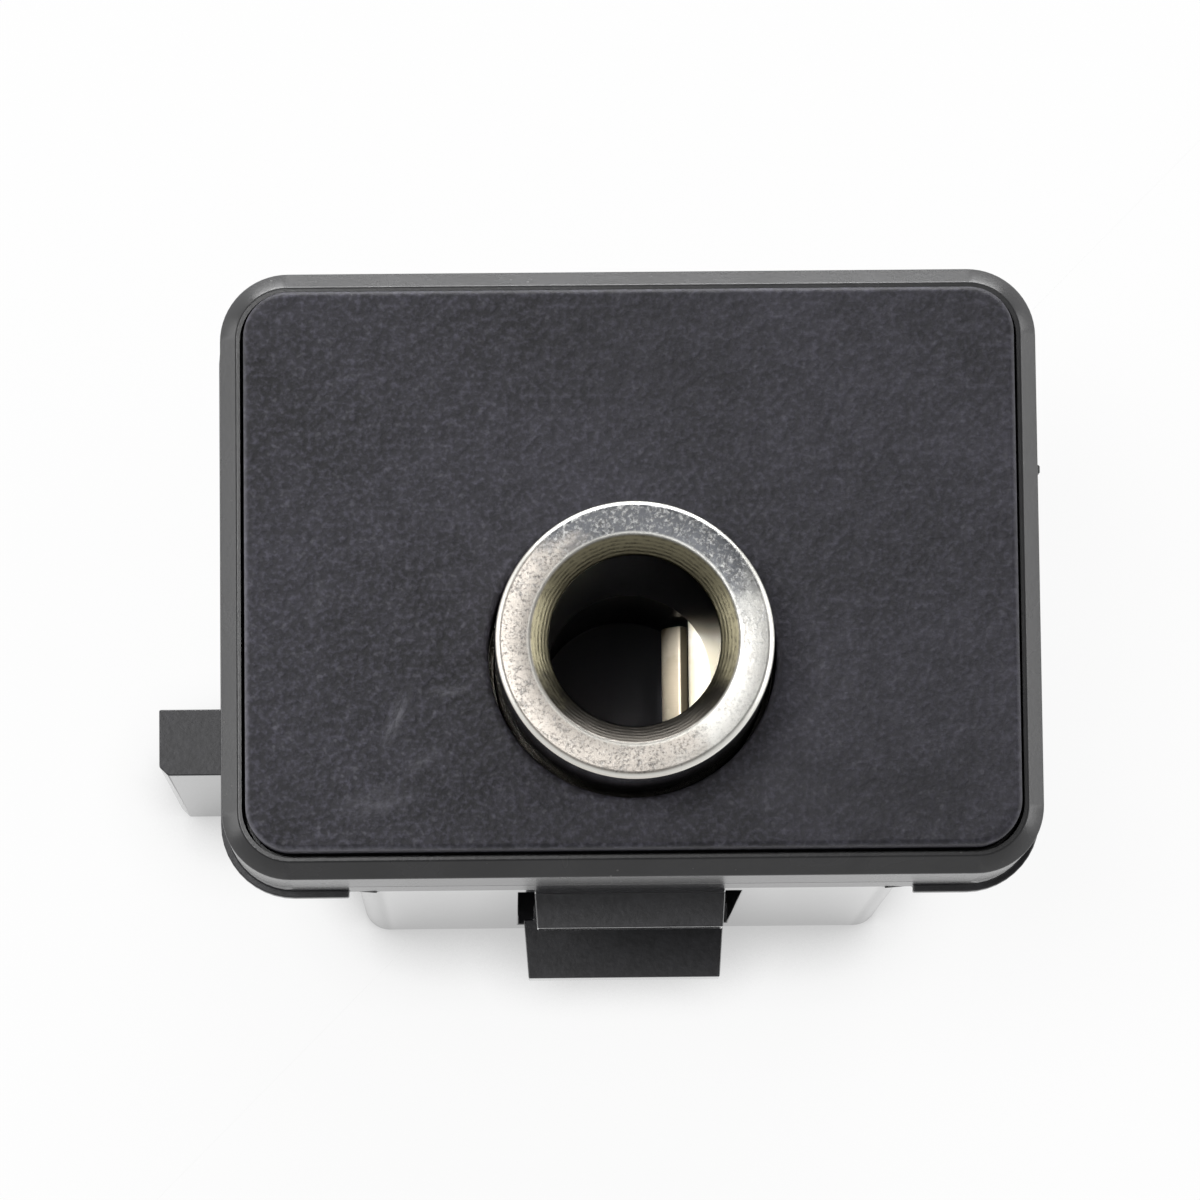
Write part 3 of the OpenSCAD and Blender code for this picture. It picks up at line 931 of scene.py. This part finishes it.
@dataclass
class Bush(Piece):
    """The turned collar with its countersunk mouth, flange and spigot."""

    bore_r: float = 1.85
    mouth_r: float = 2.25
    barrel_r: float = 3.0
    chamfer: float = 0.12
    flange_r: float = 3.6
    flange_front: float = -3.2
    flange_back: float = -4.2
    spigot_r: float = 2.5
    steps: int = 128
    edge_r: float = 0.04
    edge_steps: int = 3
    edge_degrees: float = 20.0

    def profile(self) -> list[tuple[float, float]]:
        """The turned profile's radii and levels, from the bore's front edge outwards and back."""
        low, high = millimetres(self.node)
        return [
            (self.bore_r, high.z - (self.mouth_r - self.bore_r)),
            (self.mouth_r, high.z),
            (self.barrel_r - self.chamfer, high.z),
            (self.barrel_r, high.z - self.chamfer),
            (self.barrel_r, self.flange_front),
            (self.flange_r, self.flange_front),
            (self.flange_r, self.flange_back),
            (self.spigot_r, self.flange_back),
            (self.spigot_r, low.z),
            (self.bore_r, low.z),
        ]

    def model(self) -> bmesh.types.BMesh:
        """The profile turned about the axis, with its rings' edges rounded."""
        bm = bmesh.new()
        points = [bm.verts.new(Vector((r, 0, z)) * MM) for r, z in self.profile()]
        for first, second in zip(points, points[1:] + points[:1]):
            bm.edges.new((first, second))
        bmesh.ops.spin(
            bm,
            geom=bm.verts[:] + bm.edges[:],
            cent=(0, 0, 0),
            axis=(0, 0, 1),
            angle=math.tau,
            steps=self.steps,
            use_merge=True,
        )
        bmesh.ops.remove_doubles(bm, verts=bm.verts[:], dist=MERGED)
        bmesh.ops.recalc_face_normals(bm, faces=bm.faces[:])
        soften(bm, corners(bm, self.edge_degrees), self.edge_r, self.edge_steps)
        return bm


@dataclass
class HeaderPin(Piece):
    """A square pin with pointed ends."""

    point_l: float = 0.3
    point_inset: float = 0.18
    edge_r: float = 0.04
    edge_steps: int = 2

    def model(self) -> bmesh.types.BMesh:
        """A bar whose two end faces are drawn out to smaller ones."""
        low, high = millimetres(self.node)
        size, middle = high - low, (low + high) / 2
        bar = Vector((size.x, size.y, size.z - 2 * self.point_l)) * MM
        bm = bmesh.new()
        place = Matrix.Translation(middle * MM) @ Matrix.Diagonal((*bar, 1))
        bmesh.ops.create_cube(bm, size=1.0, matrix=place)
        bmesh.ops.recalc_face_normals(bm, faces=bm.faces[:])
        ends = [f for f in bm.faces if abs(f.normal.z) > ALONG]
        draw_out(bm, ends, self.point_inset, self.point_l)
        sides = [e for e in corners(bm, SQUARE) if abs(e.verts[0].co.z - e.verts[1].co.z) > bar.z / 2]
        soften(bm, sides, self.edge_r, self.edge_steps)
        return bm


def hang(name: str, light: bpy.types.Light, place: Vector, beam: Vector) -> None:
    """Add a lamp that the camera doesn't see.

    Args:
        name: Its name.
        light: Its data.
        place: Where it hangs, in metres.
        beam: The direction in which it shines.
    """
    made = linked(name, light)
    made.location = place
    made.rotation_euler = beam.to_track_quat("-Z", "Y").to_euler()
    made.visible_camera = False


@dataclass
class Lamp:
    """A soft box, with its place and size in metres and its brightness."""

    name: str
    place: Place
    width: float
    height: float
    brightness: float

    def build(self) -> None:
        """Add the lamp, turned to the object."""
        data = bpy.data.lights.new(self.name, "AREA")
        data.shape = "RECTANGLE"
        data.size, data.size_y = self.width, self.height
        data.energy = self.brightness * math.pi * self.width * self.height
        hang(self.name, data, Vector(self.place), -Vector(self.place))


@dataclass
class Snoot:
    """A narrow lamp, with its places in millimetres and its light at the aim, where 1 is plain."""

    name: str
    place: Place
    aim: Place
    width: float
    light: float
    blend: float = 0.3
    softness: float = 0.5

    def build(self) -> None:
        """Add the lamp, turned to its aim."""
        beam = (Vector(self.aim) - Vector(self.place)) * MM
        data = bpy.data.lights.new(self.name, "SPOT")
        data.energy = self.light * 4 * math.pi**2 * beam.length_squared
        data.spot_size = 2 * math.atan(self.width / 2 * MM / beam.length)
        data.spot_blend = self.blend
        data.shadow_soft_size = self.softness * MM
        hang(self.name, data, Vector(self.place) * MM, beam)


@dataclass
class Camera:
    """The photograph's view: turns in degrees about the socket, and its place along them in millimetres."""

    sensor: float = 36.0
    clip: tuple[float, float] = (0.01, 10.0)
    lens: float = 198.0
    tilt: float = 6.872
    turn: float = -0.9
    roll: float = -0.519
    side: float = -0.709
    rise: float = 1.156
    distance: float = 143.743

    def build(self) -> None:
        """Add the camera and make it the scene's."""
        data = bpy.data.cameras.new("view")
        data.sensor_width = self.sensor
        data.lens = self.lens
        data.clip_start, data.clip_end = self.clip
        made = linked("view", data)
        turns = Matrix.Identity(4)
        for degrees, axis in ((self.tilt, "X"), (self.turn, "Y"), (self.roll, "Z")):
            turns = turns @ Matrix.Rotation(math.radians(degrees), 4, axis)
        made.matrix_world = turns @ Matrix.Translation(Vector((self.side, self.rise, self.distance)) * MM)
        bpy.context.scene.camera = made


@dataclass
class Studio:
    """A white table, a soft sky and soft boxes round the object."""

    lamps: list[Lamp] = field(
        default_factory=lambda: [
            Lamp("key_box", (-0.13, 0.04, 0.5), 0.17, 0.17, 11.0),
            Lamp("top_strip", (0.0, 0.46, 0.055), 0.6, 0.14, 14.0),
            Lamp("left_strip", (-0.46, 0.04, 0.055), 0.4, 0.14, 3.2),
            Lamp("right_strip", (0.46, 0.04, 0.055), 0.4, 0.14, 4.2),
        ]
    )
    snoot: Snoot = field(
        default_factory=lambda: Snoot("bore_snoot", (-19.0, 0.6, 100.0), (-0.05, 0.15, 2.8), 2.7, 3.6)
    )
    table: Color = (0.97, 0.97, 0.97)
    table_gap: float = 0.01
    lift: float = 0.9
    # Reach, tone and fade of the painted contact shadow.
    contact_shadow_reach: float = 2.2
    contact_shadow_tone: float = 0.56
    contact_shadow_fade: tuple[float, float] = (0.4, 0.97)
    horizon: float = 0.66
    zenith: float = 0.2
    sky_fade: tuple[float, float] = (0.1, 0.95)
    reach: float = 3.0

    def build(self) -> None:
        """Add the table, the sky and the lamps."""
        self.floor()
        self.sky()
        for lamp in (*self.lamps, self.snoot):
            lamp.build()
        bpy.context.scene.view_settings.view_transform = "Standard"

    def floor(self) -> None:
        """Add the table under the object, a little brighter where it is seen directly, with a painted
        contact shadow in that brighter glow.
        """
        bm = bmesh.new()
        level = Matrix.Translation((0, 0, CAD_BOX[0].z - self.table_gap * MM))
        bmesh.ops.create_grid(bm, x_segments=1, y_segments=1, size=self.reach, matrix=level)
        mesh = as_mesh(bm, "table")
        made = linked("table", mesh)
        white, graph = blank_material("white_table")
        path = graph.add("ShaderNodeLightPath", out="Is Camera Ray")
        seen = path.most(path.out("Is Glossy Ray")).most(path.out("Is Transmission Ray"))
        matt = graph.add("ShaderNodeBsdfDiffuse", None, {"Color": self.table})
        # Painted contact shadow: the glow that the camera and reflections see darkens near the object, as
        # ambient occlusion finds it.
        reach = {"Distance": self.contact_shadow_reach * MM}
        openness = graph.add("ShaderNodeAmbientOcclusion", {"samples": 8}, reach, out="AO")
        tone = graph.mix(openness.band(*self.contact_shadow_fade), (self.contact_shadow_tone,) * 3, (1, 1, 1))
        glow = graph.add("ShaderNodeEmission", None, {"Color": tone, "Strength": 1.0})
        shader = graph.add("ShaderNodeMixShader", None, {0: seen * self.lift, 1: matt, 2: glow})
        graph.end("ShaderNodeOutputMaterial", shader)
        mesh.materials.append(white)

    def sky(self) -> None:
        """Set a soft sky that is white at the horizon and greyer overhead."""
        world = bpy.data.worlds.new("soft_sky")
        world.use_nodes = True
        bpy.context.scene.world = world
        graph = Graph(world.node_tree)
        up = graph.split(graph.add("ShaderNodeTexCoord", out="Generated"))[2]
        color = graph.mix(up.band(*self.sky_fade), (self.horizon,) * 3, (self.zenith,) * 3)
        glow = graph.add("ShaderNodeBackground", None, {"Color": color, "Strength": 1.0})
        graph.end("ShaderNodeOutputWorld", glow)


def pieces() -> list[Piece]:
    """The socket's pieces in the order in which they are put together."""
    smooth = MouldedPlastic("smooth_black_plastic", (0.022, 0.022, 0.023), gloss=0.27)
    polished = MouldedPlastic(
        "polished_black_plastic",
        (0.016, 0.016, 0.018),
        gloss=0.1,
        draw=0.2,
        dust=0.2,
        matt_front=0.34,
        band_z=-4.55,
        polish=0.5,
    )
    insulator = MouldedPlastic("black_insulator", (0.018, 0.015, 0.022), gloss=0.5, draw=0.1, dust=0.06)
    strip = SpringStrip("plated_spring_strip")
    # The tip's strip: the plated strip in darker colours, as painted shade, with painted shade below its
    # crest.
    shaded_tip_strip = SpringStrip("tip_strip_painted_shade", (0.42, 0.36, 0.27), (0.54, 0.48, 0.38), painted_shade_z=-8.95)
    pins = SpringStrip("plated_pin", (0.80, 0.68, 0.42), (0.86, 0.78, 0.58), gloss=0.24, metal=1.0)
    made: list[Piece] = [
        FacePlate("front_plate", GrainedPlastic("grained_black_plastic"), Slot.GRAINED),
        Bezel("bezel", smooth, Slot.SMOOTH),
        Housing("rear_housing", polished, Slot.HOUSING, radius=0.035),
        Bush("bush", NickelPlate("pitted_nickel_plate"), Slot.PLATED),
        SolidPiece("sleeve_tag", strip, Slot.CONTACT, radius=0.04),
        SolidPiece("jack_core", insulator, Slot.CORE, radius=0.06),
        SolidPiece("tip_spring", shaded_tip_strip, Slot.CONTACT, Body.TIP),
        SolidPiece("ring_spring", strip, Slot.CONTACT, Body.RING),
        SolidPiece("circuit_board", MaskedBoard("masked_board"), Slot.BOARD, radius=0.02, segments=1),
        SolidPiece("header_strip", insulator, Slot.CORE),
    ]
    made += [HeaderPin("header_pin_" + pole, pins, Slot.PIN) for pole in ("tip", "ring", "sleeve")]
    return made


def main() -> None:
    """Build every piece, then the table, the light and the camera."""
    logging.basicConfig(level=logging.INFO, format="%(message)s")
    for piece in pieces():
        piece.build()
    Studio().build()
    Camera().build()


if __name__ == "__main__":
    main()
